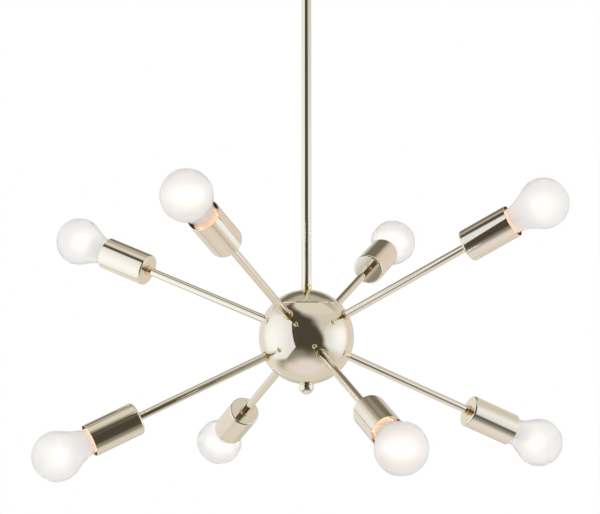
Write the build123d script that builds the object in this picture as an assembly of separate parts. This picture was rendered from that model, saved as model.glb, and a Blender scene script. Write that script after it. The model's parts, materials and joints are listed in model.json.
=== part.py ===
from build123d import *
import os
from math import asin, cos, radians, sin, sqrt

# Sputnik chandelier: a ball hub on a down rod carries eight straight arms in two rings of
# four. Each arm ends in a cup with a screw lampholder and a round-headed bulb.
# Millimetres, +Z up. The origin is the ceiling: the centre of the ceiling bracket's top
# face, so the whole lamp hangs below z = 0. The viewer of the front stands at -Y.

# ---- Ceiling bracket and its screws ----
bracket_length = 108.0
bracket_width = 19.0
bracket_thickness = 2.0
box_screw_spacing = 88.9  # the screws of a ceiling outlet box
box_slot_width = 4.8
box_slot_length = 11.0
bracket_centre_hole_d = 10.4
ground_screw_offset = 18.0
ground_screw_d = 4.8
ground_screw_head_d = 9.0
ground_screw_head_height = 3.0
driver_slot_width = 1.0
driver_slot_depth = 0.8

# ---- Canopy, with its two studs and cap nuts ----
canopy_d = 127.0
canopy_depth = 25.0
canopy_wall = 1.2
canopy_edge_radius = 7.0
canopy_stud_spacing = 60.0
canopy_stud_d = 4.2
canopy_stud_grip = 5.0  # how far a stud stands into its cap nut
cap_nut_d = 9.0
cap_nut_height = 9.0

# ---- Swivel under the canopy ----
stud_bore_d = 6.0  # the way for the leads, all the way down to the hub
stud_above_nut = 4.0
stud_flange_d = 18.0
stud_flange_thickness = 2.5
barrel_d = 24.0
barrel_top_thickness = 3.0
tongue_head_d = 16.0
tongue_thickness = 10.0
tongue_shoulder_thickness = 2.0
pivot_screw_d = 4.0
pivot_wall = 0.3  # between a pivot screw's tip and the leads' way
swivel_tilt_limit = 45.0  # degrees each way

# ---- Down rod and its foot ----
rod_length = 457.0
rod_d = 12.0
rod_collar_d = 13.0
rod_collar_height = 6.0
rod_collar_foot_inset = 0.5  # the bead draws in again at its foot
rod_grip = 14.0  # length of thread inside each end of the rod

# ---- Hub ----
hub_d = 116.4
hub_wall = 1.6
cap_seam_height = 40.4  # above the hub's centre
cap_lip_depth = 5.0
cap_lip_wall = 1.4
seam_chamfer = 0.8
finial_d = 18.4
finial_height = 12.2
finial_grip = 7.0

# ---- Arms ----
thread_d = 10.0  # one lamp thread is used all through, and the arm tubes have its size
arm_bore_d = 7.4
arm_inside_hub = 9.0
arm_inside_cup = 13.0
arm_reach = 236.0  # from the hub's centre to the outside of a cup's back
arm_collar_d = 13.0
arm_collar_thickness = 2.6
collar_edge_radius = 0.7
nut_across_flats = 14.0
nut_thickness = 4.0

# ---- Cups and lampholders ----
cup_d = 40.0
cup_length = 64.0
cup_wall = 1.0
cup_edge_radius = 2.6
cup_lip_radius = 0.3
holder_d = 34.5
holder_floor = 20.0
holder_socket_depth = 26.5
holder_edge_radius = 1.0
shell_wall = 0.5
shell_thread_depth = 0.5
contact_height = 2.0
contact_strip_thickness = 0.4
contact_strip_width = 5.0

# ---- Bulbs: a 60 mm bulb, 110 mm long, with a 26 mm screw base ----
bulb_d = 60.0
bulb_length = 110.0
bulb_neck_d = 28.2
bulb_glass_wall = 0.9
bulb_neck_start = 25.5  # from the base's contact to where the glass shows
bulb_neck_inside_base = 5.0
base_d = 26.4
base_thread_depth = 0.8
base_thread_pitch = 3.63
base_thread_turns = 5
base_wall = 0.6
base_contact_d = 9.6
base_contact_height = 1.2
base_insulator_height = 5.0
stem_foot_d = 12.0
stem_top_d = 7.0
stem_height = 66.0

# ---- Clearances ----
fit_gap = 0.1  # round a tube or stud that passes through a hole
thread_gap = 0.05  # between a thread and its nut
running_gap = 0.05  # round a pivot
moving_gap = 0.3  # between faces that move past each other
shell_gap = 0.1  # round the screw shell in its lampholder

# Each arm's direction in degrees, as the assembled lamp stands: azimuth from +X towards
# +Y, then elevation. Two rings of four, the lower one turned half a step, each arm a few
# degrees off the even pattern.
arm_directions = {
    "upper_front_left": (-115.1, 24.8),
    "upper_front_right": (-26.0, 26.0),
    "upper_back_right": (67.9, 24.2),
    "upper_back_left": (156.5, 21.9),
    "lower_front_left": (-159.9, -24.9),
    "lower_front_right": (-71.0, -22.95),
    "lower_back_right": (21.4, -22.2),
    "lower_back_left": (111.8, -22.2),
}

# ---- Heights and distances that follow ----
thread_r = thread_d / 2
thread_hole_r = thread_r + thread_gap
passing_hole_r = thread_r + fit_gap
nut_corner_r = nut_across_flats / 2 / cos(radians(30))
hub_r = hub_d / 2
hub_inner_r = hub_r - hub_wall


def seat_height(ball_r, seat_r):
    """Distance from a ball's centre to the flat circle of radius seat_r on it."""
    return sqrt(ball_r**2 - seat_r**2)


hub_seat = seat_height(hub_r, passing_hole_r)
nut_seat = seat_height(hub_inner_r, nut_corner_r) - fit_gap

canopy_floor = -canopy_depth
canopy_inside = canopy_floor + canopy_wall
stud_top = canopy_inside + nut_thickness + stud_above_nut
flange_bottom = canopy_floor - stud_flange_thickness
barrel_top = flange_bottom - moving_gap
barrel_ceiling = barrel_top - barrel_top_thickness
swivel_nut_top = barrel_ceiling - fit_gap
stud_bottom = swivel_nut_top - nut_thickness - moving_gap
pivot_height = stud_bottom - 2 * moving_gap - tongue_head_d / 2
barrel_r = barrel_d / 2
shoulder_top = pivot_height - barrel_r - 2 * moving_gap
rod_top = shoulder_top - tongue_shoulder_thickness
rod_bottom = rod_top - rod_length
hub_height = rod_bottom - rod_collar_height - hub_seat

cup_inside = arm_reach + cup_wall
holder_back = cup_inside + nut_thickness
holder_floor_face = holder_back + holder_floor
holder_rim = holder_floor_face + holder_socket_depth
bulb_contact = holder_floor_face + contact_height
arm_start = nut_seat - arm_inside_hub
arm_end = cup_inside + arm_inside_cup


def tube(outer_d, inner_d, low, high):
    """A round tube, or a rod where inner_d is 0, along Z from low to high."""
    place = Pos(0, 0, (low + high) / 2)
    length = high - low
    body = place * Cylinder(outer_d / 2, length)
    if inner_d > 0:
        body -= place * Cylinder(inner_d / 2, 2 * length)
    return body


def hex_nut(low):
    """The lamp thread's hexagon nut, with its lower face at low."""
    outline = RegularPolygon(nut_across_flats / 2, 6, major_radius=False)
    outline -= Circle(thread_hole_r)
    return Pos(0, 0, low) * extrude(outline, nut_thickness)


def turned(points):
    """The solid that a closed outline of (radius, height) points makes about Z."""
    outline = Polyline([(r, 0, z) for r, z in points], close=True)
    return revolve(make_face(outline), Axis.Z)


def bottom_edges(part):
    return part.edges().group_by(Axis.Z)[0]


def top_edges(part):
    return part.edges().group_by(Axis.Z)[-1]


def widest(edges):
    """The largest circle among the edges."""
    return edges.filter_by(GeomType.CIRCLE).sort_by(SortBy.RADIUS)[-1]


# ---- Ceiling end ----
def mirrored_pair(part):
    """The part and its copy on the other side of the YZ plane."""
    return [part, mirror(part, Plane.YZ)]


def ceiling_bracket():
    middle = Pos(0, 0, -bracket_thickness / 2)
    plate = Box(bracket_length, bracket_width, bracket_thickness)
    plate = fillet(plate.edges().filter_by(Axis.Z), bracket_width / 4)
    through = 2 * bracket_thickness
    plate -= Cylinder(bracket_centre_hole_d / 2, through)
    plate -= Pos(ground_screw_offset, 0, 0) * Cylinder(ground_screw_d / 2 + thread_gap, through)
    for side in (-1, 1):
        slot = extrude(SlotOverall(box_slot_length, box_slot_width), bracket_thickness, both=True)
        plate -= Pos(side * box_screw_spacing / 2, 0, 0) * slot
        stud_hole = Cylinder(canopy_stud_d / 2 + thread_gap, through)
        plate -= Pos(side * canopy_stud_spacing / 2, 0, 0) * stud_hole
    return middle * plate


def ground_screw():
    shank = tube(ground_screw_d, 0, -bracket_thickness, 0)
    head_bottom = -bracket_thickness - ground_screw_head_height
    head = tube(ground_screw_head_d, 0, head_bottom, -bracket_thickness)
    head = fillet(bottom_edges(head), ground_screw_head_height / 4)
    slot = Pos(0, 0, head_bottom) * Box(ground_screw_head_d, driver_slot_width, 2 * driver_slot_depth)
    return Pos(ground_screw_offset, 0, 0) * (head - slot + shank)


def canopy():
    pan = tube(canopy_d, 0, canopy_floor, 0)
    pan = fillet(bottom_edges(pan), canopy_edge_radius)
    hollow = tube(canopy_d - 2 * canopy_wall, 0, canopy_inside, canopy_depth)
    hollow = fillet(bottom_edges(hollow), canopy_edge_radius - canopy_wall)
    pan -= hollow
    pan -= tube(2 * passing_hole_r, 0, canopy_floor - canopy_wall, canopy_inside + canopy_wall)
    for side in (-1, 1):
        hole = tube(canopy_stud_d + 2 * fit_gap, 0, canopy_floor - canopy_wall, 0)
        pan -= Pos(side * canopy_stud_spacing / 2, 0, 0) * hole
    return pan


def canopy_studs():
    stud = tube(canopy_stud_d, 0, canopy_floor - canopy_stud_grip, 0)
    slot = Box(canopy_stud_d, driver_slot_width, 2 * driver_slot_depth)
    return mirrored_pair(Pos(canopy_stud_spacing / 2, 0, 0) * (stud - slot))


def canopy_cap_nuts():
    """Round nuts with a domed end, blind, one on each stud."""
    ball_r = cap_nut_d / 2
    low = canopy_floor - cap_nut_height
    nut = tube(cap_nut_d, 0, low + ball_r, canopy_floor) + Pos(0, 0, low + ball_r) * Sphere(ball_r)
    thread = canopy_stud_d + 2 * thread_gap
    nut -= tube(thread, 0, canopy_floor - canopy_stud_grip - moving_gap, canopy_floor)
    return mirrored_pair(Pos(canopy_stud_spacing / 2, 0, 0) * nut)


# ---- Swivel ----
def swivel_stud():
    flange = tube(stud_flange_d, 0, flange_bottom, canopy_floor)
    flange = fillet(widest(bottom_edges(flange)), collar_edge_radius)
    stud = flange + tube(thread_d, 0, stud_bottom, stud_top)
    return stud - tube(stud_bore_d, 0, stud_bottom - thread_d, stud_top + thread_d)


def swivel_barrel():
    """Turns on the stud. Its slot lets the tongue tilt, and the slot's ends stop it."""
    barrel_bottom = pivot_height - barrel_r
    barrel = tube(barrel_d, 0, barrel_bottom, barrel_top)
    barrel = fillet(top_edges(barrel), collar_edge_radius)
    rounding_cheek = Rot(90, 0, 0) * Cylinder(barrel_r, barrel_d)
    upper_half = Pos(0, 0, barrel_r) * Box(2 * barrel_d, 2 * barrel_d, barrel_d)
    barrel &= Pos(0, 0, pivot_height) * (rounding_cheek + upper_half)
    barrel -= tube(thread_d + 2 * running_gap, 0, barrel_ceiling - barrel_r, barrel_top + thread_d)
    nut_room_r = nut_corner_r + 2 * moving_gap
    head_room = tongue_head_d / 2 + 2 * moving_gap
    barrel -= tube(2 * nut_room_r, 0, pivot_height + tongue_head_d / 4, barrel_ceiling)
    # A fan below the pivot, a little wider than the tongue's neck at its steepest tilt.
    neck_edge = thread_r + moving_gap
    steepest = radians(swivel_tilt_limit)
    fan_out = barrel_d
    fan_start = (neck_edge - head_room * cos(steepest)) / sin(steepest)
    fan_end = (neck_edge - fan_out * cos(steepest)) / sin(steepest)
    right_side = [
        (head_room, head_room),
        (head_room, fan_start),
        (fan_out, fan_end),
        (fan_out, -2 * barrel_d),
    ]
    left_side = [(-x, z) for x, z in reversed(right_side)]
    fan = make_face(Polyline([(x, 0, z) for x, z in right_side + left_side], close=True))
    slot = extrude(fan, tongue_thickness / 2 + moving_gap, dir=(0, 1, 0), both=True)
    barrel -= Pos(0, 0, pivot_height) * slot
    pivot_hole = Rot(90, 0, 0) * Cylinder(pivot_screw_d / 2 + thread_gap, 2 * barrel_d)
    return barrel - Pos(0, 0, pivot_height) * pivot_hole


def pivot_screws():
    """Two headless screws on the tilt axis, one through each cheek of the barrel."""
    tip = stud_bore_d / 2 + pivot_wall
    length = barrel_r - driver_slot_depth - tip
    screw = Cylinder(pivot_screw_d / 2, length)
    slot = Pos(0, 0, length / 2) * Box(pivot_screw_d, driver_slot_width, 2 * driver_slot_depth)
    front = Pos(0, -tip - length / 2, pivot_height) * Rot(90, 0, 0) * (screw - slot)
    return [front, mirror(front, Plane.XZ)]


def swivel_tongue():
    """Hangs on the pivot screws and holds the rod's top thread."""
    head = Pos(0, 0, pivot_height) * Rot(90, 0, 0) * Cylinder(tongue_head_d / 2, tongue_thickness)
    neck_and_thread = tube(thread_d, 0, rod_top - rod_grip, pivot_height)
    shoulder = tube(rod_d, 0, rod_top, shoulder_top)
    tongue = head + neck_and_thread + shoulder
    tongue -= tube(stud_bore_d, 0, rod_top - rod_length, barrel_top)
    pivot_hole = Rot(90, 0, 0) * Cylinder(pivot_screw_d / 2 + running_gap, barrel_d)
    return tongue - Pos(0, 0, pivot_height) * pivot_hole


# ---- Rod and hub ----
def rod_collar():
    """A bead at the rod's foot: full near the hub, drawn in to the rod above."""
    widest_r = rod_collar_d / 2
    foot_r = widest_r - rod_collar_foot_inset
    low = rod_bottom - rod_collar_height
    foot = (foot_r, 0, low)
    waist = (widest_r, 0, low + rod_collar_height / 3)
    shoulder = (rod_d / 2, 0, rod_bottom)
    side = ThreePointArc(foot, waist, shoulder)
    rest = Polyline(shoulder, (thread_hole_r, 0, rod_bottom), (thread_hole_r, 0, low), foot)
    return revolve(make_face(side + rest), Axis.Z)


def on_hub(part):
    return Pos(0, 0, hub_height) * part


def arm_frame(direction):
    """A plane at the hub's centre whose +Z runs out along the arm."""
    azimuth, elevation = (radians(angle) for angle in direction)
    outwards = (cos(elevation) * cos(azimuth), cos(elevation) * sin(azimuth), sin(elevation))
    sideways = (-sin(azimuth), cos(azimuth), 0)
    return Plane(origin=(0, 0, hub_height), x_dir=sideways, z_dir=outwards)


def hub_shell():
    """The whole hollow ball, with the thread's hole at its top and bottom, at the origin."""
    shell = Sphere(hub_r) - Sphere(hub_inner_r)
    return shell - Cylinder(passing_hole_r, 2 * hub_d)


def hub_body():
    """The ball below the cap, with a hole for each arm."""
    above_seam = Pos(0, 0, cap_seam_height + hub_r) * Box(hub_d, hub_d, hub_d)
    body = hub_shell() - above_seam
    body = on_hub(chamfer(widest(top_edges(body)), seam_chamfer))
    for direction in arm_directions.values():
        body -= arm_frame(direction) * tube(2 * passing_hole_r, 0, hub_inner_r / 2, hub_d)
    return body


def hub_cap():
    """The ball's top, with a lip that locates it in the body."""
    below_seam = Pos(0, 0, cap_seam_height - hub_r) * Box(2 * hub_d, 2 * hub_d, hub_d)
    cap = hub_shell() - below_seam
    cap = chamfer(widest(bottom_edges(cap)), seam_chamfer)
    lip_r = seat_height(hub_inner_r, cap_seam_height) - fit_gap
    lip_low = cap_seam_height - cap_lip_depth
    lip = tube(2 * lip_r, 2 * (lip_r - cap_lip_wall), lip_low, cap_seam_height + cap_lip_depth)
    return on_hub(cap + (lip & Sphere(hub_inner_r + hub_wall / 2)))


def centre_stem():
    """The threaded tube that clamps rod, cap, body and finial together."""
    low = -hub_seat - finial_grip
    high = hub_seat + rod_collar_height + rod_grip
    return on_hub(tube(thread_d, stud_bore_d, low, high))


def finial():
    """A ball, cut off above its middle, seated on the hub's lowest point."""
    ball_r = finial_d / 2
    centre = -hub_r - (finial_height - ball_r)
    ball = Pos(0, 0, centre) * Sphere(ball_r)
    ball -= Sphere(hub_r + thread_gap)
    thread = 2 * thread_hole_r
    return on_hub(ball - tube(thread, 0, -hub_seat - finial_grip - moving_gap, 0))


# ---- Arms, cups and lampholders, each along its own +Z from the hub's centre ----
def arm_tube():
    return tube(thread_d, arm_bore_d, arm_start, arm_end)


def arm_collar(low):
    collar = tube(arm_collar_d, 2 * thread_hole_r, low, low + arm_collar_thickness)
    rims = [widest(bottom_edges(collar)), widest(top_edges(collar))]
    return fillet(rims, collar_edge_radius)


def cup():
    mouth = arm_reach + cup_length
    shell = tube(cup_d, 0, arm_reach, mouth)
    shell = fillet(bottom_edges(shell), cup_edge_radius)
    hollow = tube(cup_d - 2 * cup_wall, 0, cup_inside, mouth + cup_length)
    hollow = fillet(bottom_edges(hollow), cup_edge_radius - cup_wall)
    shell -= hollow
    shell = fillet(top_edges(shell), cup_lip_radius)
    return shell - tube(2 * passing_hole_r, 0, arm_reach - cup_wall, cup_inside + cup_wall)


screw_shell_r = base_d / 2 + moving_gap + shell_thread_depth + shell_wall


def lampholder():
    """The insulating body: a back socket for the arm's thread, a front one for the base."""
    body = tube(holder_d, 0, holder_back, holder_rim)
    body = fillet(bottom_edges(body) + top_edges(body), holder_edge_radius)
    body -= tube(2 * (screw_shell_r + shell_gap), 0, holder_floor_face, holder_rim + holder_floor)
    body -= tube(2 * thread_hole_r, 0, holder_back - nut_thickness, arm_end + fit_gap)
    return body - tube(stud_bore_d / 2, 0, arm_end - fit_gap, holder_floor_face + fit_gap)


def threaded_side(crest_r, root_r, low, turns):
    """Outline points of a rounded thread's rings, from low upwards."""
    step = base_thread_pitch / 4
    levels = range(4 * turns + 1)
    waves = [root_r + (crest_r - root_r) * (1 - cos(radians(90 * level))) / 2 for level in levels]
    return [(wave, low + step * level) for level, wave in zip(levels, waves)]


def screw_shell():
    """The lampholder's metal thread, with a floor ring that carries one lead."""
    inner_r = base_d / 2 + moving_gap
    root_r = inner_r + shell_thread_depth
    low = holder_floor_face
    inside = threaded_side(inner_r, root_r, low + contact_height, base_thread_turns)
    top = inside[-1][1] + base_thread_pitch / 2
    floor_r = base_contact_d / 2 + 2 * contact_height
    points = [(floor_r, low), (screw_shell_r, low), (screw_shell_r, top), (root_r, top)]
    points += list(reversed(inside))
    points += [(root_r, low + shell_wall), (floor_r, low + shell_wall)]
    return turned(points)


def contact_tab():
    """The sprung strip that rises from the floor to meet the bulb's contact."""
    foot_end = base_contact_d / 2
    tip = foot_end / 4
    lift = contact_height - contact_strip_thickness
    lower = [(-foot_end, 0), (-foot_end / 2, 0), (-tip, lift), (tip, lift)]
    upper = [(x, z + contact_strip_thickness) for x, z in reversed(lower)]
    outline = make_face(Polyline([(x, 0, z) for x, z in lower + upper], close=True))
    strip = extrude(outline, contact_strip_width / 2, dir=(0, 1, 0), both=True)
    return Pos(0, 0, holder_floor_face) * strip


# ---- Bulbs ----
def bulb_side(inset):
    """Half of the bulb's outline, moved in by inset: neck, flare and head, as edges."""
    head_r = bulb_d / 2
    centre = bulb_length - head_r
    neck_r = bulb_neck_d / 2
    # The flare is an arc that leaves the neck straight and meets the head without a kink.
    run = centre - bulb_neck_start
    flare_r = (run**2 - head_r**2 + neck_r**2) / (2 * (head_r - neck_r))
    meet = head_r / (head_r + flare_r)
    meet_r = meet * (neck_r + flare_r)
    meet_z = centre - meet * run
    side_r = head_r - inset
    flare_side_r = flare_r + inset
    flare_centre_r = neck_r + flare_r
    start = (flare_centre_r - sqrt(flare_side_r**2 - inset**2), 0, bulb_neck_start + inset)
    scale = side_r / head_r
    join = (meet_r * scale, 0, centre - (centre - meet_z) * scale)
    half_turn = asin(run / (head_r + flare_r)) / 2
    on_flare = (
        flare_centre_r - flare_side_r * cos(half_turn),
        0,
        bulb_neck_start + flare_side_r * sin(half_turn),
    )
    tip = (0, 0, centre + side_r)
    widest = (side_r, 0, centre)
    return start, on_flare, join, widest, tip


def bulb_glass():
    """The frosted envelope: an open neck that plugs into the base."""
    start, on_flare, join, widest, tip = bulb_side(0)
    in_start, in_flare, in_join, in_widest, in_tip = bulb_side(bulb_glass_wall)
    plug_r = base_d / 2 - base_thread_depth - base_wall - fit_gap
    plug_low = bulb_neck_start - bulb_neck_inside_base
    plug_inner_r = plug_r - bulb_glass_wall
    outline = ThreePointArc(start, on_flare, join)
    outline += ThreePointArc(join, widest, tip)
    outline += Line(tip, in_tip)
    outline += ThreePointArc(in_tip, in_widest, in_join)
    outline += ThreePointArc(in_join, in_flare, in_start)
    outline += Polyline(
        in_start,
        (plug_inner_r, 0, in_start[2]),
        (plug_inner_r, 0, plug_low),
        (plug_r, 0, plug_low),
        (plug_r, 0, bulb_neck_start),
        start,
    )
    return Pos(0, 0, bulb_contact) * revolve(make_face(outline), Axis.Z)


def bulb_base():
    """The screw base: threaded shell, insulator, contact, and the stem inside the glass."""
    crest_r = base_d / 2
    root_r = crest_r - base_thread_depth
    thread_low = bulb_neck_start - base_thread_turns * base_thread_pitch
    side = threaded_side(crest_r, root_r, thread_low, base_thread_turns)
    inner_r = root_r - base_wall
    shoulder_r = base_contact_d / 2 + base_contact_height
    shell_low = base_contact_height + base_insulator_height / 2
    shell = [(shoulder_r + base_wall, shell_low)] + side
    shell += [(inner_r, bulb_neck_start), (inner_r, thread_low), (shoulder_r, shell_low)]
    insulator_low = base_contact_height / 2
    contact_r = base_contact_d / 2
    button_r = contact_r / 2
    insulator = [(button_r, insulator_low), (contact_r, insulator_low), (shoulder_r, shell_low)]
    insulator += [(inner_r - fit_gap, thread_low), (button_r, thread_low)]
    contact = [(0, 0), (button_r, 0), (contact_r - fit_gap, insulator_low)]
    contact += [(button_r - fit_gap, insulator_low), (button_r - fit_gap, shell_low), (0, shell_low)]
    foot = thread_low
    stem = [(0, foot), (stem_foot_d / 2, foot), (stem_foot_d / 2, bulb_neck_start)]
    stem += [(stem_top_d / 2, bulb_neck_start + stem_foot_d), (stem_top_d / 2, stem_height), (0, stem_height)]
    return [Pos(0, 0, bulb_contact) * turned(points) for points in (shell, insulator, contact, stem)]


# ---- All pieces, by name: each node's solids ----
parts = {
    "ceiling_bracket": [ceiling_bracket()],
    "ground_screw": [ground_screw()],
    "canopy": [canopy()],
    "canopy_studs": canopy_studs(),
    "canopy_cap_nuts": canopy_cap_nuts(),
    "swivel_stud": [swivel_stud()],
    "swivel_nuts": [hex_nut(canopy_inside), hex_nut(swivel_nut_top - nut_thickness)],
    "swivel_barrel": [swivel_barrel()],
    "swivel_pivot_screws": pivot_screws(),
    "swivel_tongue": [swivel_tongue()],
    "down_rod": [tube(rod_d, 2 * thread_hole_r, rod_bottom, rod_top)],
    "rod_collar": [rod_collar()],
    "hub_cap": [hub_cap()],
    "hub_body": [hub_body()],
    "centre_stem": [centre_stem()],
    "finial": [finial()],
    "arm_collars": [],
    "lock_nuts": [on_hub(hex_nut(nut_seat - nut_thickness)), on_hub(hex_nut(-nut_seat))],
    "screw_shells": [],
    "contact_tabs": [],
}

for place, direction in arm_directions.items():
    frame = arm_frame(direction)
    parts["arm_" + place] = [frame * arm_tube()]
    parts["cup_" + place] = [frame * cup()]
    parts["lampholder_" + place] = [frame * lampholder()]
    parts["bulb_glass_" + place] = [frame * bulb_glass()]
    parts["bulb_base_" + place] = [frame * piece for piece in bulb_base()]
    parts["arm_collars"] += [frame * arm_collar(hub_seat)]
    parts["arm_collars"] += [frame * arm_collar(arm_reach - arm_collar_thickness)]
    parts["lock_nuts"] += [frame * hex_nut(nut_seat - nut_thickness), frame * hex_nut(cup_inside)]
    parts["screw_shells"] += [frame * screw_shell()]
    parts["contact_tabs"] += [frame * contact_tab()]

os.makedirs("parts", exist_ok=True)
for name, pieces in parts.items():
    solids = [solid for piece in pieces for solid in piece.solids()]
    export_step(solids[0] if len(solids) == 1 else Compound(solids), f"parts/{name}.step")
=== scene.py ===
import json
from math import atan, atan2, cos, pi, radians, sin, sqrt

import bpy
from mathutils import Matrix, Vector


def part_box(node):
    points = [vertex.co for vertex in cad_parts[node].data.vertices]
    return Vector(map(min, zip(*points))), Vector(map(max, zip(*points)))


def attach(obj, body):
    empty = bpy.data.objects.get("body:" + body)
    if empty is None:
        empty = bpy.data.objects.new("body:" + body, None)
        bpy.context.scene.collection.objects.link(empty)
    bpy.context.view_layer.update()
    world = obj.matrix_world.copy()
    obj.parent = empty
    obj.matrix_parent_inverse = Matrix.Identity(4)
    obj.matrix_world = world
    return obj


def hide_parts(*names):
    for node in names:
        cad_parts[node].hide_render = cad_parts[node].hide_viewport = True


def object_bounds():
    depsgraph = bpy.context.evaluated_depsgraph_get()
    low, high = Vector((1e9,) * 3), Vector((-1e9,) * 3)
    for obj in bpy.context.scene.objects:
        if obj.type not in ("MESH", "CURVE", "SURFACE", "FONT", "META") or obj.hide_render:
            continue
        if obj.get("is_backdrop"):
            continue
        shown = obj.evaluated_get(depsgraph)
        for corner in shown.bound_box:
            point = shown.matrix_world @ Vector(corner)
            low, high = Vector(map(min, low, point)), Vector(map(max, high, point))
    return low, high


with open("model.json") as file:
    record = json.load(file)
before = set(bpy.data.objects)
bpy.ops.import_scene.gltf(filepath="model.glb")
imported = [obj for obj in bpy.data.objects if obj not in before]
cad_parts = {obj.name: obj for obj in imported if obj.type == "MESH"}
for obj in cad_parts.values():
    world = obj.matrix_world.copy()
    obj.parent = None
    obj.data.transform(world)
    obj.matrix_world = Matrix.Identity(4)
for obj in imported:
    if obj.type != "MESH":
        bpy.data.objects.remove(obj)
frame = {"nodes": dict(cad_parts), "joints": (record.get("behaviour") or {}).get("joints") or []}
cad_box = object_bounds()
nodes = frame["nodes"]

# Metres, +Z up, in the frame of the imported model. The lamp hangs from z = 0, and the viewer
# of the photographed side stands at -Y.

# ---- Driving values ----
image_width, image_height = 600, 514
hub_pixel = (306.5, 336.9)  # where the hub's centre lies in the image
camera_distance = 2.6816  # in front of the hub's centre
camera_drop = 0.113  # below the hub's centre
camera_lens, camera_sensor = 131.4, 36.0  # millimetres

floor_drop = 1.65  # from the lamp's lowest point to the floor
floor_r = 30.0

base_length = 0.0255  # a bulb's screw base, from its contact to the glass
neck_r = 0.0141
glass_wall = 0.0009
plug_r = 0.0117  # the neck inside the base
plug_length = 0.005
thread_crest_r, thread_root_r = 0.0132, 0.0124
thread_pitch = 0.00363
thread_turns = 5
base_wall = 0.0003
thread_facets, envelope_facets = 72, 128
crease_angle = 38  # degrees; an edge that turns more stays sharp
thread_run_out = 0.0015  # plain metal between a base's thread and the glass
base_rim = 0.0008  # the plain bead at the glass, as wide as the thread's crest
base_rim_gap = 0.0001  # between that bead and the glass
base_rim_slope = 0.0003
base_cone_step = 0.0006  # the thread's foot stands this far in and down from its root
base_foot_r, base_foot_height = 0.0072, 0.0037  # the foot of a base's cone
base_foot_inside_r, base_foot_inside_height = 0.0069, 0.004
shell_crest_r, shell_root_r = 0.0135, 0.014  # the lampholder's rolled thread, inside
shell_wall = 0.0005
shell_drop = 0.002  # its floor, below the bulb's contact
shell_floor_hole_r = 0.0088

# Outlines as (radius, height above the bulb's contact).
insulator_outline = [
    (0.0024, 0.0006), (0.0044, 0.0007), (0.0058, 0.0018),
    (0.0070, 0.0038), (0.0066, 0.0046), (0.0024, 0.0046),
]
solder_ball_r = 0.0032
solder_ball_start, solder_ball_end = -75, -42  # degrees from the radius axis
solder_stem = [(0.0022, 0.0012), (0.0022, 0.0036), (0, 0.0036)]

# The filament's mount, leads and coil. (radius or x, height) from the height named.
mount_foot = 0.0075  # above the bulb's contact
mount_lower = [(0, 0), (0.0058, 0), (0.0056, 0.004), (0.0042, 0.012), (0.0030, 0.022)]
mount_drop = 0.016  # the mount's top, below the head's centre
mount_upper = [(0.0030, -0.008), (0.0036, -0.003), (0.0030, -0.0006), (0.0016, 0), (0, 0)]
lead_start = [(0.0012, -0.002), (0.0028, 0.002)]  # from the mount's top
lead_bend = (0.0085, -0.004)  # from the filament's height
lead_tip = 0.0008  # how far a lead reaches past the filament's end, either way
lead_r = 0.00035
filament_drop = 0.004  # below the head's centre
filament_span = 0.011  # from the middle to either end
filament_rise = 0.003  # of its arch
filament_coil_r = 0.002
filament_turns, points_per_turn = 16, 12
filament_wire_r = 0.0007

filament_strength = 3.5
etched_clarity = 0.6  # the rest of the light scatters white
etched_glow = 0.105
neck_glow, neck_glow_length = 0.85, 0.015
light_bounces, glossy_bounces = 48, 24  # many rough faces lie in a bulb's way


# ---- Places worked out from the frame ----
def half_width(node):
    """Half of a node's extent in X."""
    low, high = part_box(node)
    return (high.x - low.x) / 2


hub_r = half_width("hub_body")
hub_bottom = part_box("hub_body")[0].z
hub_centre = Vector((0, 0, hub_bottom + sqrt(hub_r**2 - half_width("centre_stem")**2)))

prefix = "bulb_out_"
arm_axes = {
    joint["name"].removeprefix(prefix): Vector(joint["axis"]).normalized()
    for joint in frame["joints"]
    if joint["name"].startswith(prefix)
}


def arm_matrix(axis):
    """The frame at the hub's centre whose +Z runs out along an arm."""
    sideways = Vector((0, 0, 1)).cross(axis).normalized()
    across = axis.cross(sideways)
    matrix = Matrix((sideways, across, axis)).transposed().to_4x4()
    matrix.translation = hub_centre
    return matrix


def along_arm(kind):
    """The least and greatest distance of a node's vertices along its arm."""
    place, axis = next(iter(arm_axes.items()))
    reach = [(v.co - hub_centre).dot(axis) for v in nodes[f"{kind}_{place}"].data.vertices]
    return min(reach), max(reach)


def radius_on_arm(kind):
    """How far a node's vertices stand off its arm's axis, at most."""
    place, axis = next(iter(arm_axes.items()))
    offsets = [v.co - hub_centre for v in nodes[f"{kind}_{place}"].data.vertices]
    return max((offset - offset.dot(axis) * axis).length for offset in offsets)


bulb_contact = along_arm("bulb_base")[0]
bulb_tip = along_arm("bulb_glass")[1]
bulb_r = radius_on_arm("bulb_glass")
neck_start = bulb_contact + base_length
head_centre = bulb_tip - bulb_r
filament_height = head_centre - filament_drop
mount_top = head_centre - mount_drop


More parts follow.
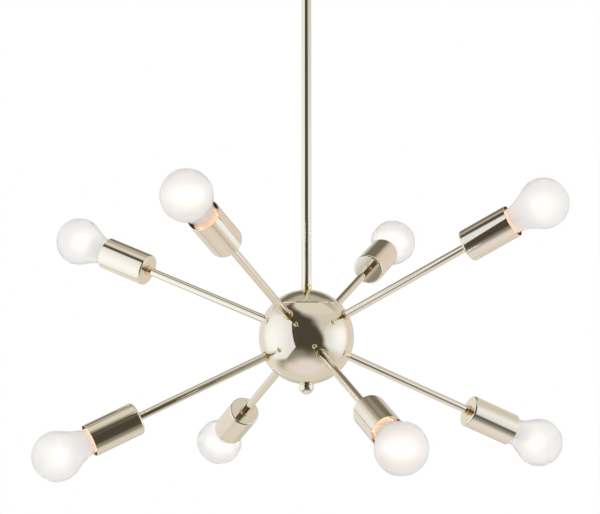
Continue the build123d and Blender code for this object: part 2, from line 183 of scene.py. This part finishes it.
# ---- Materials ----
class Shader:
    """A material's node tree, with short calls for the nodes used here."""

    def __init__(self, material):
        material.use_nodes = True
        self.material = material
        self.tree = material.node_tree
        self.tree.nodes.clear()
        self.output = self.tree.nodes.new("ShaderNodeOutputMaterial")

    def node(self, kind, inputs=(), **settings):
        made = self.tree.nodes.new(kind)
        for name, value in settings.items():
            setattr(made, name, value)
        for name, value in dict(inputs).items():
            self.set(made.inputs[name], value)
        return made

    def set(self, socket, value):
        if isinstance(value, bpy.types.NodeSocket):
            self.tree.links.new(value, socket)
        else:
            socket.default_value = value

    def noise(self, scale, detail=3.0, stretch=(1, 1, 1), distortion=0.0):
        where = self.node("ShaderNodeTexCoord").outputs["Object"]
        mapping = self.node("ShaderNodeMapping", {"Vector": where, "Scale": stretch})
        inputs = {
            "Vector": mapping.outputs[0], "Scale": scale,
            "Detail": detail, "Distortion": distortion,
        }
        return self.node("ShaderNodeTexNoise", inputs).outputs["Fac"]

    def along_piece(self):
        """Height in the piece's own frame: the distance along its arm."""
        where = self.node("ShaderNodeTexCoord").outputs["Object"]
        return self.node("ShaderNodeSeparateXYZ", {"Vector": where}).outputs["Z"]

    def remap(self, value, low, high, to_low, to_high):
        inputs = {
            "Value": value, "From Min": low, "From Max": high, "To Min": to_low, "To Max": to_high,
        }
        return self.node("ShaderNodeMapRange", inputs).outputs[0]

    def math(self, operation, first, second=0.0):
        made = self.node("ShaderNodeMath", operation=operation)
        self.set(made.inputs[0], first)
        self.set(made.inputs[1], second)
        return made.outputs[0]

    def blend(self, share, first, second):
        made = self.node("ShaderNodeMix", data_type="RGBA")
        self.set(made.inputs["Factor"], share)
        self.set(made.inputs[6], first)
        self.set(made.inputs[7], second)
        return made.outputs[2]

    def bump(self, height, distance, strength=1.0):
        inputs = {"Height": height, "Distance": distance, "Strength": strength}
        return self.node("ShaderNodeBump", inputs).outputs[0]

    def finish(self, surface):
        self.set(self.output.inputs["Surface"], surface)
        return self.material

    def principled(self, inputs):
        return self.finish(self.node("ShaderNodeBsdfPrincipled", inputs).outputs[0])


def colour(red, green, blue):
    return (red, green, blue, 1.0)


def new_material(name):
    return Shader(bpy.data.materials.new(name))


def slot_material(name):
    """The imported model's own material of that slot, emptied."""
    return Shader(bpy.data.materials[name])


def gold_plate(shader, light, dark):
    """Mirror-polished gold plating, with wiping marks and a faint unevenness."""
    cloud = shader.noise(14, detail=4)
    wipes = shader.noise(120, detail=5, stretch=(1, 1, 0.15), distortion=0.6)
    waves = shader.noise(45, detail=1)
    smear = shader.remap(wipes, 0.35, 0.75, 0.0, 0.03)
    base = shader.remap(cloud, 0.3, 0.7, 0.03, 0.06)
    return shader.principled({
        "Base Color": shader.blend(cloud, light, dark),
        "Metallic": 1.0,
        "Roughness": shader.math("ADD", smear, base),
        "Normal": shader.bump(waves, 0.00002, 0.5),
    })


def polished_gold():
    """Pale gold of the large pieces."""
    light, dark = colour(0.86, 0.79, 0.655), colour(0.83, 0.755, 0.61)
    return gold_plate(slot_material("polished_gold"), light, dark)


def painted_reflection_gold():
    """Deeper gold of the small turned pieces. This is a painted reflection: the saturated tint
    that gold shows when it mirrors gold.
    """
    # Painted reflection: a deeper, more orange gold than polished_gold, standing in for gold
    # reflected in gold.
    light, dark = colour(0.92, 0.75, 0.47), colour(0.88, 0.69, 0.4)
    return gold_plate(new_material("painted_reflection_gold"), light, dark)


def zinc_steel():
    """Zinc-plated steel: dull grey with a fine grain and a yellowish bloom."""
    shader = slot_material("zinc_steel")
    grain = shader.noise(2500, detail=2)
    bloom = shader.noise(40, detail=5)
    tint = shader.blend(bloom, colour(0.52, 0.53, 0.52), colour(0.62, 0.6, 0.52))
    return shader.principled({
        "Base Color": tint,
        "Metallic": 1.0,
        "Roughness": shader.remap(bloom, 0.3, 0.7, 0.28, 0.42),
        "Normal": shader.bump(grain, 0.00003, 0.4),
    })


def green_screw():
    """Green lacquer over steel, thin at the marks."""
    shader = slot_material("green_screw")
    marks = shader.noise(700, detail=4)
    worn = shader.remap(marks, 0.5, 0.7, 0, 1)
    tint = shader.blend(worn, colour(0.02, 0.2, 0.07), colour(0.06, 0.32, 0.14))
    return shader.principled({
        "Base Color": tint,
        "Metallic": 0.6,
        "Roughness": shader.remap(marks, 0.3, 0.7, 0.25, 0.45),
        "Normal": shader.bump(marks, 0.00005, 0.4),
    })


def white_ceramic():
    """Glazed porcelain: cream white, with faint specks and a wavy glaze."""
    shader = slot_material("white_ceramic")
    specks = shader.noise(900, detail=2)
    glaze = shader.noise(160, detail=2)
    speckled = shader.remap(specks, 0.62, 0.72, 0, 1)
    tint = shader.blend(speckled, colour(0.8, 0.775, 0.73), colour(0.62, 0.56, 0.49))
    return shader.principled({
        "Base Color": tint,
        "Roughness": shader.remap(glaze, 0.3, 0.7, 0.14, 0.24),
        "Coat Weight": 0.4,
        "Coat Roughness": 0.08,
        "Normal": shader.bump(glaze, 0.0001, 0.25),
    })


def contact_brass():
    """Bare brass strip and thread, slightly tarnished."""
    shader = slot_material("contact_brass")
    tarnish = shader.noise(220, detail=5)
    tint = shader.blend(tarnish, colour(0.8, 0.56, 0.24), colour(0.58, 0.36, 0.13))
    return shader.principled({
        "Base Color": tint,
        "Metallic": 1.0,
        "Roughness": shader.remap(tarnish, 0.3, 0.7, 0.16, 0.34),
        "Normal": shader.bump(tarnish, 0.00004, 0.3),
    })


def bulb_base_metal():
    """Soft aluminium of a bulb's base, rubbed along its thread."""
    shader = slot_material("bulb_base_metal")
    rub = shader.noise(260, detail=4, stretch=(1, 1, 6))
    tint = shader.blend(rub, colour(0.72, 0.72, 0.71), colour(0.6, 0.59, 0.57))
    return shader.principled({
        "Base Color": tint,
        "Metallic": 1.0,
        "Roughness": shader.remap(rub, 0.3, 0.7, 0.2, 0.36),
        "Normal": shader.bump(rub, 0.00004, 0.3),
    })


def glass_outside():
    """The envelope's outer face: satin glass. Lamplight led down the neck leaves it there."""
    shader = slot_material("frosted_glass")
    film = shader.noise(60, detail=3)
    height = shader.along_piece()
    glow_end = neck_start + neck_glow_length
    return shader.principled({
        "Base Color": shader.blend(film, colour(0.98, 0.985, 0.99), colour(0.96, 0.965, 0.97)),
        "Roughness": shader.remap(film, 0.3, 0.7, 0.3, 0.34),
        "IOR": 1.45,
        "Transmission Weight": 1.0,
        "Emission Color": colour(1.0, 0.45, 0.18),
        "Emission Strength": shader.remap(height, neck_start, glow_end, neck_glow, 0.0),
    })


def glass_inside():
    """The envelope's inner face, etched matt, which holds some of the filament's light."""
    shader = new_material("etched_glass")
    etching = shader.noise(1500, detail=2)
    tint = shader.blend(etching, colour(0.985, 0.985, 0.985), colour(0.965, 0.965, 0.965))
    return shader.principled({
        "Base Color": tint,
        "Roughness": shader.remap(etching, 0.3, 0.7, 0.95, 1.0),
        "IOR": 1.45,
        "Transmission Weight": etched_clarity,
        "Emission Color": colour(1.0, 0.975, 0.94),
        "Emission Strength": etched_glow,
    })


def filament_glow():
    """The lit filament, a little uneven along its coils."""
    shader = new_material("filament_glow")
    flicker = shader.noise(800, detail=1)
    tint = shader.blend(flicker, colour(1.0, 0.89, 0.75), colour(1.0, 0.91, 0.8))
    return shader.principled({
        "Base Color": colour(0.3, 0.28, 0.25),
        "Roughness": 0.6,
        "Emission Color": tint,
        "Emission Strength": filament_strength,
    })


def black_glass():
    """The dark glass between a base's thread and its contact."""
    shader = new_material("black_glass")
    flow = shader.noise(300, detail=3)
    return shader.principled({
        "Base Color": shader.blend(flow, colour(0.012, 0.012, 0.018), colour(0.03, 0.028, 0.035)),
        "Roughness": shader.remap(flow, 0.3, 0.7, 0.08, 0.2),
        "Normal": shader.bump(flow, 0.0001, 0.3),
    })


def solder():
    """The contact's drop of solder."""
    shader = new_material("solder")
    flow = shader.noise(500, detail=3)
    return shader.principled({
        "Base Color": shader.blend(flow, colour(0.62, 0.62, 0.6), colour(0.45, 0.44, 0.42)),
        "Metallic": 1.0,
        "Roughness": shader.remap(flow, 0.3, 0.7, 0.25, 0.5),
        "Normal": shader.bump(flow, 0.0001, 0.5),
    })


def clear_glass():
    """The filament's mount."""
    shader = new_material("clear_glass")
    flow = shader.noise(150, detail=2)
    return shader.principled({
        "Base Color": shader.blend(flow, colour(0.97, 0.98, 0.97), colour(0.93, 0.95, 0.94)),
        "Roughness": shader.remap(flow, 0.3, 0.7, 0.02, 0.06),
        "IOR": 1.45,
        "Transmission Weight": 1.0,
    })


polished_gold()
# The small turned pieces get the deeper gold, a painted reflection of gold in gold.
painted_reflection_small_gold = painted_reflection_gold()
for node in ("arm_collars", "lock_nuts", "rod_collar"):
    nodes[node].material_slots[0].material = painted_reflection_small_gold
zinc_steel()
green_screw()
white_ceramic()
brass = contact_brass()
base_metal = bulb_base_metal()
outside = glass_outside()
inside = glass_inside()
for faint in (outside, inside):
    faint.cycles.emission_sampling = "NONE"  # less grain
filament_material = filament_glow()
insulator_material = black_glass()
solder_material = solder()
mount_material = clear_glass()


# ---- Meshes about +Z ----
def grid_mesh(name, rows, materials, row_material=None, closed=False):
    """A skin over rings of points. A ring of one point is a tip.

    closed joins the last ring to the first. row_material gives each strip's material.
    """
    points, starts = [], []
    for row in rows:
        starts.append(len(points))
        points += row
    faces, kinds = [], []
    for index in range(len(rows) if closed else len(rows) - 1):
        after = (index + 1) % len(rows)
        lower, upper = rows[index], rows[after]
        count = max(len(lower), len(upper))
        for step in range(count):
            ahead = (step + 1) % count
            corners = [starts[index] + (step if len(lower) > 1 else 0)]
            if len(lower) > 1:
                corners.append(starts[index] + ahead)
            corners.append(starts[after] + (ahead if len(upper) > 1 else 0))
            if len(upper) > 1:
                corners.append(starts[after] + step)
            faces.append(corners)
            kinds.append(row_material(index) if row_material else 0)
    mesh = bpy.data.meshes.new(name)
    mesh.from_pydata(points, [], faces)
    for material in materials:
        mesh.materials.append(material)
    mesh.polygons.foreach_set("material_index", kinds)
    mesh.shade_smooth()
    mesh.set_sharp_from_angle(angle=radians(crease_angle))
    mesh.update()
    return mesh


def ring(radius, height, segments):
    if radius <= 0:
        return [(0, 0, height)]
    turn = 2 * pi / segments
    return [(radius * cos(turn * k), radius * sin(turn * k), height) for k in range(segments)]


def lathe(name, profile, materials, segments=96, row_material=None, closed=False):
    """A surface of revolution through (radius, height) points."""
    rows = [ring(radius, height, segments) for radius, height in profile]
    return grid_mesh(name, rows, materials, row_material, closed)


def arc(centre, radius, start, end, steps):
    """(radius, height) points on a circle, its angles in degrees from the radius axis."""
    angles = [radians(start + (end - start) * step / steps) for step in range(steps + 1)]
    return [(centre[0] + radius * cos(a), centre[1] + radius * sin(a)) for a in angles]


# ---- Bulbs ----
def envelope_side(inset):
    """Outline of the envelope moved in by inset: the flare from the neck, then the head."""
    run = head_centre - neck_start
    flare_r = (run**2 - bulb_r**2 + neck_r**2) / (2 * (bulb_r - neck_r))
    meet_angle = atan2(run, neck_r + flare_r) * 180 / pi
    flare = arc((neck_r + flare_r, neck_start), flare_r + inset, 180, 180 - meet_angle, 18)
    head = arc((0, head_centre), bulb_r - inset, -meet_angle, 90, 44)
    return flare + head[1:-1] + [(0, head_centre + bulb_r - inset)]


def envelope_mesh():
    outer = [(plug_r, neck_start - plug_length), (plug_r, neck_start)] + envelope_side(0)
    plug_inside_r = plug_r - glass_wall
    inner = envelope_side(glass_wall)[::-1]
    inner += [(plug_inside_r, neck_start + glass_wall), (plug_inside_r, neck_start - plug_length)]
    profile = outer + inner

    def face_kind(index):
        return 1 if len(outer) <= index < len(profile) - 1 else 0

    kinds = [outside, inside]
    return lathe("envelope", profile, kinds, envelope_facets, face_kind, closed=True)


def thread_rings(profile):
    return [ring(radius, height, thread_facets) for radius, height in profile]


def threaded_rows(crest_r, root_r, low, steps_per_turn=8):
    """Rings of a helical thread that fades in and out at its ends."""
    rows = []
    for level in range(thread_turns * steps_per_turn + 1):
        height = low + level * thread_pitch / steps_per_turn
        turns_up = level / steps_per_turn
        fade = min(1.0, turns_up, thread_turns - turns_up)
        row = []
        for k in range(thread_facets):
            angle = 2 * pi * k / thread_facets
            wave = (1 - cos(2 * pi * turns_up - angle)) / 2
            radius = root_r + (crest_r - root_r) * wave * fade
            row.append((radius * cos(angle), radius * sin(angle), height))
        rows.append(row)
    return rows


def screw_base_mesh():
    """The base's rolled thread, with a plain rim at the glass and a cone at its foot."""
    low = neck_start - thread_turns * thread_pitch - thread_run_out
    rim_top = neck_start - base_rim_gap
    rim_bottom = rim_top - base_rim
    inside_r = thread_root_r - base_wall
    below = [
        (base_foot_r, bulb_contact + base_foot_height),
        (thread_root_r - base_cone_step, low - base_cone_step),
    ]
    above = [
        (thread_root_r, rim_bottom - base_rim_slope), (thread_crest_r, rim_bottom),
        (thread_crest_r, rim_top), (inside_r, rim_top), (inside_r, low),
        (base_foot_inside_r, bulb_contact + base_foot_inside_height),
    ]
    thread = threaded_rows(thread_crest_r, thread_root_r, low)
    rows = thread_rings(below) + thread + thread_rings(above)
    return grid_mesh("screw_base", rows, [base_metal], closed=True)


def from_height(height, outline):
    """The (radius, height) points of an outline that is given from that height."""
    return [(radius, height + above) for radius, above in outline]


def insulator_mesh():
    profile = from_height(bulb_contact, insulator_outline)
    return lathe("base_insulator", profile, [insulator_material], 64, closed=True)


def contact_mesh():
    centre = (0, bulb_contact + solder_ball_r)
    ball = arc(centre, solder_ball_r, solder_ball_start, solder_ball_end, 6)
    profile = [(0, bulb_contact)] + ball + from_height(bulb_contact, solder_stem)
    return lathe("base_contact", profile, [solder_material], 48)


def mount_mesh():
    """The glass stem that holds the leads: a flared foot, a tube and a pinched bead."""
    lower = from_height(bulb_contact + mount_foot, mount_lower)
    profile = lower + from_height(mount_top, mount_upper)
    return lathe("filament_mount", profile, [mount_material], 48)


def tube_mesh(name, path, radius, material, sides=8):
    """A round tube along a list of points."""
    off_path = Vector((0, 1, 0.013))  # a direction that no tube runs in
    rows = []
    turn = 2 * pi / sides
    for index, point in enumerate(path):
        before = path[max(index - 1, 0)]
        after = path[min(index + 1, len(path) - 1)]
        forward = (after - before).normalized()
        side = forward.cross(off_path).normalized()
        up = side.cross(forward)
        offsets = [cos(turn * k) * side + sin(turn * k) * up for k in range(sides)]
        rows.append([tuple(point + radius * offset) for offset in offsets])
    rows = [[tuple(path[0])]] + rows + [[tuple(path[-1])]]
    return grid_mesh(name, rows, [material])


def filament_mesh():
    """A coiled filament that arches from lead to lead."""
    path = []
    steps = filament_turns * points_per_turn
    for step in range(steps + 1):
        share = step / steps
        angle = 2 * pi * filament_turns * share
        x = filament_span * (2 * share - 1)
        y = filament_coil_r * cos(angle)
        arch = filament_rise * (1 - (2 * share - 1) ** 2)
        path.append(Vector((x, y, filament_height + arch + filament_coil_r * sin(angle))))
    return tube_mesh("filament", path, filament_wire_r, filament_material, 6)


def lead_mesh(side):
    """A lead wire from the mount's bead out to one end of the filament."""
    tip = [lead_bend, (filament_span, -lead_tip), (filament_span, lead_tip)]
    line = from_height(mount_top, lead_start) + from_height(filament_height, tip)
    path = [Vector((side * x, 0, z)) for x, z in line]
    return tube_mesh("filament_lead", path, lead_r, base_metal, 8)


def screw_shell_mesh():
    """The lampholder's rolled brass thread, open towards the bulb, on a ring floor."""
    floor = bulb_contact - shell_drop
    floor_top = floor + shell_wall
    rim = bulb_contact + thread_turns * thread_pitch + thread_pitch / 2
    outside_r = shell_root_r + shell_wall
    below = [(shell_floor_hole_r, floor_top), (shell_root_r, floor_top)]
    above = [
        (shell_root_r, rim), (outside_r, rim), (outside_r, floor), (shell_floor_hole_r, floor),
    ]
    thread = threaded_rows(shell_crest_r, shell_root_r, bulb_contact)
    rows = thread_rings(below) + thread + thread_rings(above)
    return grid_mesh("screw_shell", rows, [brass], closed=True)


bulb_meshes = {
    "envelope": (envelope_mesh(), "frosted_glass", "bulb_glass"),
    "screw_base": (screw_base_mesh(), "bulb_base_metal", "bulb_base"),
    "base_insulator": (insulator_mesh(), "bulb_base_metal", "bulb_base"),
    "base_contact": (contact_mesh(), "bulb_base_metal", "bulb_base"),
    "filament_mount": (mount_mesh(), "bulb_base_metal", "bulb_base"),
    "filament": (filament_mesh(), "bulb_base_metal", "bulb_base"),
    "filament_lead_left": (lead_mesh(-1), "bulb_base_metal", "bulb_base"),
    "filament_lead_right": (lead_mesh(1), "bulb_base_metal", "bulb_base"),
}
screw_shell = screw_shell_mesh()


def place_piece(name, mesh, matrix, body, slot, node):
    piece = bpy.data.objects.new(name, mesh)
    bpy.context.scene.collection.objects.link(piece)
    piece.matrix_world = matrix
    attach(piece, body)
    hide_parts(node)


for place, axis in arm_axes.items():
    matrix = arm_matrix(axis)
    for kind, (mesh, slot, node) in bulb_meshes.items():
        place_piece(f"{kind}_{place}", mesh, matrix, "bulb_" + place, slot, f"{node}_{place}")
    name = "screw_shell_" + place
    place_piece(name, screw_shell, matrix, "pendant", "contact_brass", "screw_shells")


# ---- Floor ----
def floor_material():
    """Pale matt floor."""
    shader = new_material("studio_floor")
    grain = shader.noise(3, detail=3)
    tint = shader.blend(grain, colour(0.94, 0.93, 0.93), colour(0.97, 0.965, 0.96))
    diffuse = shader.node("ShaderNodeBsdfDiffuse", {"Color": tint, "Roughness": 0.5})
    return shader.finish(diffuse.outputs[0])


floor_height = cad_box[0].z - floor_drop
floor_profile = [(0, floor_height), (floor_r, floor_height)]
floor_mesh = lathe("studio_floor", floor_profile, [floor_material()])
floor = bpy.data.objects.new("studio_floor", floor_mesh)
bpy.context.scene.collection.objects.link(floor)
floor.visible_glossy = False
floor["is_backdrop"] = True


# ---- Studio: what the polished metal sees ----
# A far dome round the hub and nearer cards, which only reflections show. Each zone of the
# dome is (name, light, edges), laid over the ones before it. An edge (weights, start, full)
# lets it in where the weighted sum of a place's measures goes from start to full. On the
# dome those are the azimuth and elevation in degrees, as seen from the hub's centre, and the
# direction's share backwards and to either side. Azimuth is 0 towards the camera and grows
# to the right.
dome_r = 2.7
back_wall = (0.64, 0.62, 0.58)
left_of, right_of, above = (-1, 0, 0, 0), (1, 0, 0, 0), (0, 1, 0, 0)
behind = (0, 0, 1, -0.2)
gap, back_gap = (0.08, 0.07, 0.055), (0.2, 0.18, 0.145)
dome_zones = [
    ("right_wall", (0.82, 0.75, 0.7), [
        (right_of, 60, 100), (right_of, 168, 150), (above, -50, -36), (above, 44, 30),
    ]),
    ("left_wall", (0.88, 0.87, 0.86), [
        (left_of, 20, 34), (left_of, 172, 150), (above, -44, -30), (above, 50, 42),
    ]),
    ("right_front", (0.7, 0.71, 0.67), [
        (right_of, 20, 45), (right_of, 100, 70), (above, -50, -24),
    ]),
    ("right_upper", (0.74, 0.73, 0.69), [
        (right_of, 20, 45), (right_of, 160, 140), (above, 26, 44),
    ]),
    ("left_upper", (0.17, 0.155, 0.125), [(left_of, 15, 35), (above, 42, 50)]),
    ("front_floor", (0.45, 0.43, 0.41), [(above, -34, -50)]),
    ("back_floor_left", (0.82, 0.78, 0.74), [(left_of, 112, 138), (above, -30, -44)]),
    ("back_floor_right", (0.8, 0.765, 0.69), [(right_of, 92, 122), (above, -30, -44)]),
    ("side_floor", (0.82, 0.78, 0.74), [((0, 0, 1, 0), -0.35, -0.05), (above, -44, -60)]),
    ("floor_middle", (0.89, 0.85, 0.91), [((0, 1, 20, 0), -53, -77)]),
    ("ceiling", (0.81, 0.8, 0.755), [((0.14, 1, 0, 0), 50, 62)]),
    ("back_ceiling", (0.56, 0.53, 0.48), [(behind, -0.02, 0.12), (above, 32, 50)]),
    ("back_gap_left", back_gap, [(left_of, 126, 146), (above, 25, 39), (above, 66, 50)]),
    ("back_gap_right", back_gap, [(right_of, 136, 152), (above, 25, 39), (above, 66, 50)]),
    ("front_gap", gap, [
        (left_of, 110, 80), (right_of, 40, 8), ((0.35, 1, 0, 0), 60, 40),
        (above, 70, 54), (above, -64, -22),
    ]),
    ("front_gap_low", gap, [
        (left_of, 20, -10), ((1, 0.62, 0, 0), 50, 32), (above, 38, 16), (above, -64, -22),
    ]),
]
# Each card is a flat light: (name, light, azimuth, distance, lean, pool, edges). It faces
# the hub from that azimuth at that distance in metres, turned in its own plane by lean
# degrees. Its measures are metres to the right and up from the point nearest to the hub.
# Its lamp stands behind pool, and fades round it.
card_reach = 1.6
pool_near, pool_far, pool_edge = 0.15, 0.75, 0.8
card_right, card_up = (1, 0), (0, 1)
studio_cards = [
    ("left_box", (1.15, 1.21, 1.34), -80, 0.735, 15, (-0.12, 0), [
        (card_right, -0.9, -0.45), (card_right, 0.782, 0.767),
        (card_up, -0.81, -0.77), (card_up, 0.85, 0.55), ((1, 1.2), -1.15, -0.88),
    ]),
    ("right_box", (1.14, 1.2, 1.32), 90, 1.1, 0, (0, 0), [
        (card_right, -1.5, -0.7), (card_right, 0.65, 0.3),
        (card_up, -0.8, -0.4), (card_up, 0.75, 0.2),
    ]),
]


class Studio(Shader):
    """Node tree of something that only gives light."""

    def step(self, value, start, full):
        """0 before start, 1 past full, smooth between them."""
        inputs = {"Value": value, "From Min": start, "From Max": full}
        return self.node("ShaderNodeMapRange", inputs, interpolation_type="SMOOTHSTEP").outputs[0]

    def inside(self, measures, edges):
        """1 inside all the soft edges, 0 outside any of them."""
        steps = []
        for weights, start, full in edges:
            used = [pair for pair in zip(measures, weights) if pair[1]]
            terms = [self.math("MULTIPLY", measure, weight) for measure, weight in used]
            total = terms[0]
            for term in terms[1:]:
                total = self.math("ADD", total, term)
            steps.append(self.step(total, start, full))
        share = steps[0]
        for step in steps[1:]:
            share = self.math("MULTIPLY", share, step)
        return share

    def own_position(self):
        where = self.node("ShaderNodeTexCoord").outputs["Object"]
        return where, self.node("ShaderNodeSeparateXYZ", {"Vector": where}).outputs

    def glow(self, light, strength=1.0):
        return self.node("ShaderNodeEmission", {"Color": light, "Strength": strength}).outputs[0]

    def finish(self, surface):
        self.material.cycles.emission_sampling = "NONE"
        return super().finish(surface)


def dome_material():
    studio = Studio(bpy.data.materials.new("studio_dome"))
    where, (x, y, z) = studio.own_position()
    degrees = 180 / pi
    reach = studio.node("ShaderNodeVectorMath", {0: where}, operation="LENGTH").outputs["Value"]
    turn = studio.math("ARCTAN2", x, studio.math("MULTIPLY", y, -1))
    azimuth = studio.math("MULTIPLY", turn, degrees)
    rise = studio.math("ARCSINE", studio.math("DIVIDE", z, reach))
    elevation = studio.math("MULTIPLY", rise, degrees)
    backwards = studio.math("DIVIDE", y, reach)
    sideways = studio.math("DIVIDE", studio.math("ABSOLUTE", x), reach)
    light = colour(*back_wall)
    for name, level, edges in dome_zones:
        share = studio.inside((azimuth, elevation, backwards, sideways), edges)
        light = studio.blend(share, light, colour(*level))
    return studio.finish(studio.glow(light))


def card_material(name, level, pool, edges):
    """Light that fades round its pool and at the card's soft edges."""
    studio = Studio(bpy.data.materials.new(name))
    where, (x, y, z) = studio.own_position()
    offset = studio.node("ShaderNodeVectorMath", {0: where, 1: (*pool, 0)}, operation="DISTANCE")
    strength = studio.remap(offset.outputs["Value"], pool_near, pool_far, 1.0, pool_edge)
    see_through = studio.node("ShaderNodeBsdfTransparent").outputs[0]
    light = studio.glow(colour(*level), strength)
    share = studio.inside((x, y), edges)
    mixed = studio.node("ShaderNodeMixShader", {0: share, 1: see_through, 2: light})
    return studio.finish(mixed.outputs[0])


def add_to_studio(name, mesh, matrix):
    """Puts something in the studio that only reflections show."""
    made = bpy.data.objects.new(name, mesh)
    bpy.context.scene.collection.objects.link(made)
    made.matrix_world = matrix
    made.visible_camera = made.visible_diffuse = made.visible_transmission = False
    made.visible_shadow = made.visible_volume_scatter = False
    made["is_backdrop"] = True


dome_profile = [(0, -dome_r)] + arc((0, 0), dome_r, -90, 90, 48)[1:-1] + [(0, dome_r)]
dome_mesh = lathe("studio_dome", dome_profile, [dome_material()])
add_to_studio("studio_dome", dome_mesh, Matrix.Translation(hub_centre))
for name, level, azimuth, distance, lean, pool, edges in studio_cards:
    turn, roll = radians(azimuth), radians(lean)
    outwards = Vector((sin(turn), -cos(turn), 0))
    sideways = Vector((cos(turn), sin(turn), 0))
    upwards = Vector((0, 0, 1))
    rightwards = cos(roll) * sideways + sin(roll) * upwards
    leaning = cos(roll) * upwards - sin(roll) * sideways
    matrix = Matrix((rightwards, leaning, -outwards)).transposed().to_4x4()
    matrix.translation = hub_centre + distance * outwards
    signs = ((-1, -1), (1, -1), (1, 1), (-1, 1))
    corners = [(card_reach * right, card_reach * up, 0) for right, up in signs]
    mesh = bpy.data.meshes.new(name)
    mesh.from_pydata(corners, [], [(0, 1, 2, 3)])
    mesh.materials.append(card_material(name, level, pool, edges))
    add_to_studio(name, mesh, matrix)


def plain_world():
    """Even white light all round, which is also the background."""
    world = bpy.data.worlds.new("studio")
    bpy.context.scene.world = world
    world.use_nodes = True
    world.node_tree.nodes["Background"].inputs["Color"].default_value = colour(1, 1, 1)


plain_world()

# ---- Camera ----
camera_data = bpy.data.cameras.new("camera")
camera_data.lens = camera_lens
camera_data.sensor_width = camera_sensor
camera_data.clip_end = 200
camera = bpy.data.objects.new("camera", camera_data)
bpy.context.scene.collection.objects.link(camera)
focal_pixels = camera_lens / camera_sensor * image_width
tilt = atan2(camera_drop, camera_distance) + atan((hub_pixel[1] - image_height / 2) / focal_pixels)
swing = atan((hub_pixel[0] - image_width / 2) / focal_pixels)
camera.location = hub_centre + Vector((0, -camera_distance, -camera_drop))
camera.rotation_euler = (radians(90) + tilt, 0, swing)
bpy.context.scene.camera = camera
bpy.context.scene.view_settings.view_transform = "Standard"

cycles = bpy.context.scene.cycles
cycles.max_bounces = cycles.transmission_bounces = light_bounces
cycles.glossy_bounces = glossy_bounces

boxes = {"cad": cad_box, "visual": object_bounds()}
{name: [list(corner) for corner in box] for name, box in boxes.items()}
